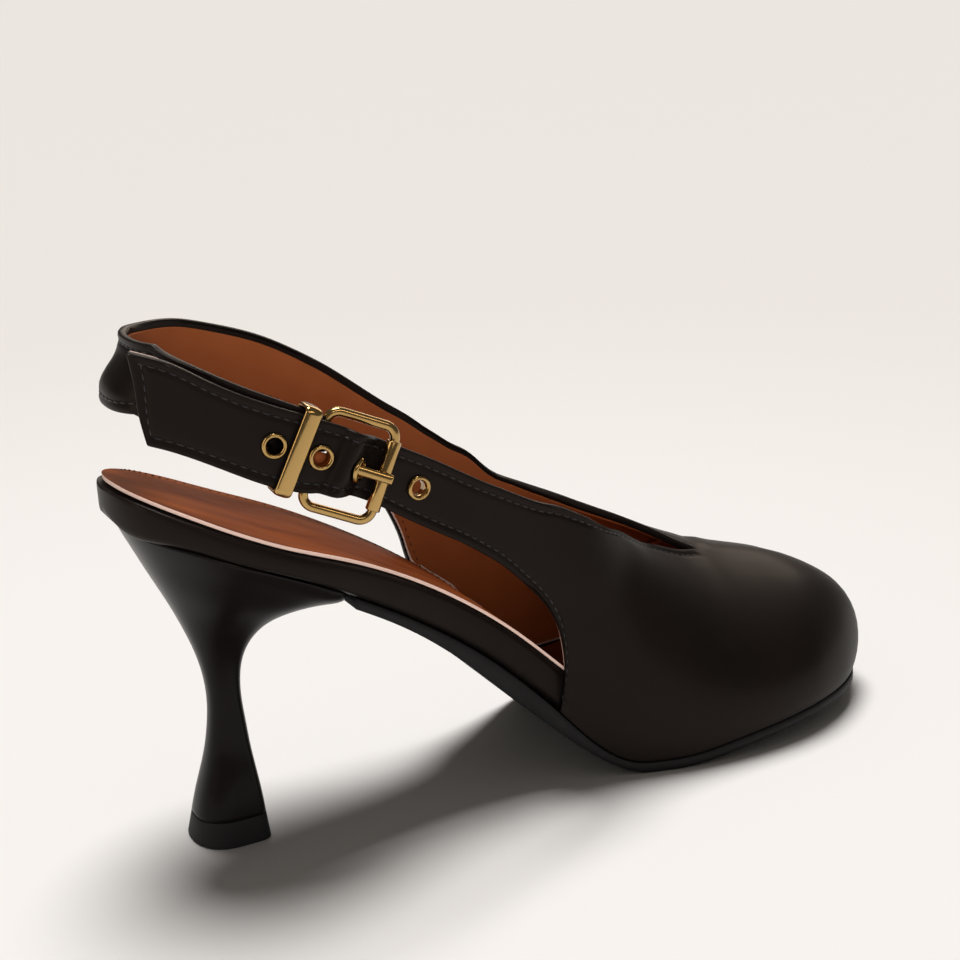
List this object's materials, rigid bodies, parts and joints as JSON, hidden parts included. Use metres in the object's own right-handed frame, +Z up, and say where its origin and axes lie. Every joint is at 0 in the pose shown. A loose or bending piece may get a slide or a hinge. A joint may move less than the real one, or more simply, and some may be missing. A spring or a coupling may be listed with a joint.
{
  "type": "slingback pump",
  "caption": "Right foot slingback pump: rounded toe, high vamp, open side, buckled strap round the heel, thin covered platform and a flared spool heel.",
  "frame": {"origin": "on the floor, at the middle of the heel tip's underside", "axes": "+X along the shoe to the toe, +Y to the inner side of the foot, +Z up"},
  "size_m": [0.2395, 0.0832, 0.147],
  "materials": {
    "black_leather": "smooth polished black leather",
    "tan_leather": "smooth cognac lining leather",
    "gloss_heel": "glossy black lacquer",
    "rubber_sole": "matt black rubber",
    "gold": "polished pale gold plating"
  },
  "bodies": {
    "root": {"outsole": "rubber_sole", "footbed": "black_leather", "insole": "tan_leather", "upper": "black_leather", "heel": "gloss_heel", "top_lift": "rubber_sole", "buckle_frame": "gold", "roller": "gold", "prong": "gold", "keeper": "gold", "eyelet_1": "gold", "eyelet_2": "gold", "eyelet_3": "gold", "eyelet_4": "gold"}
  },
  "joints": []
}
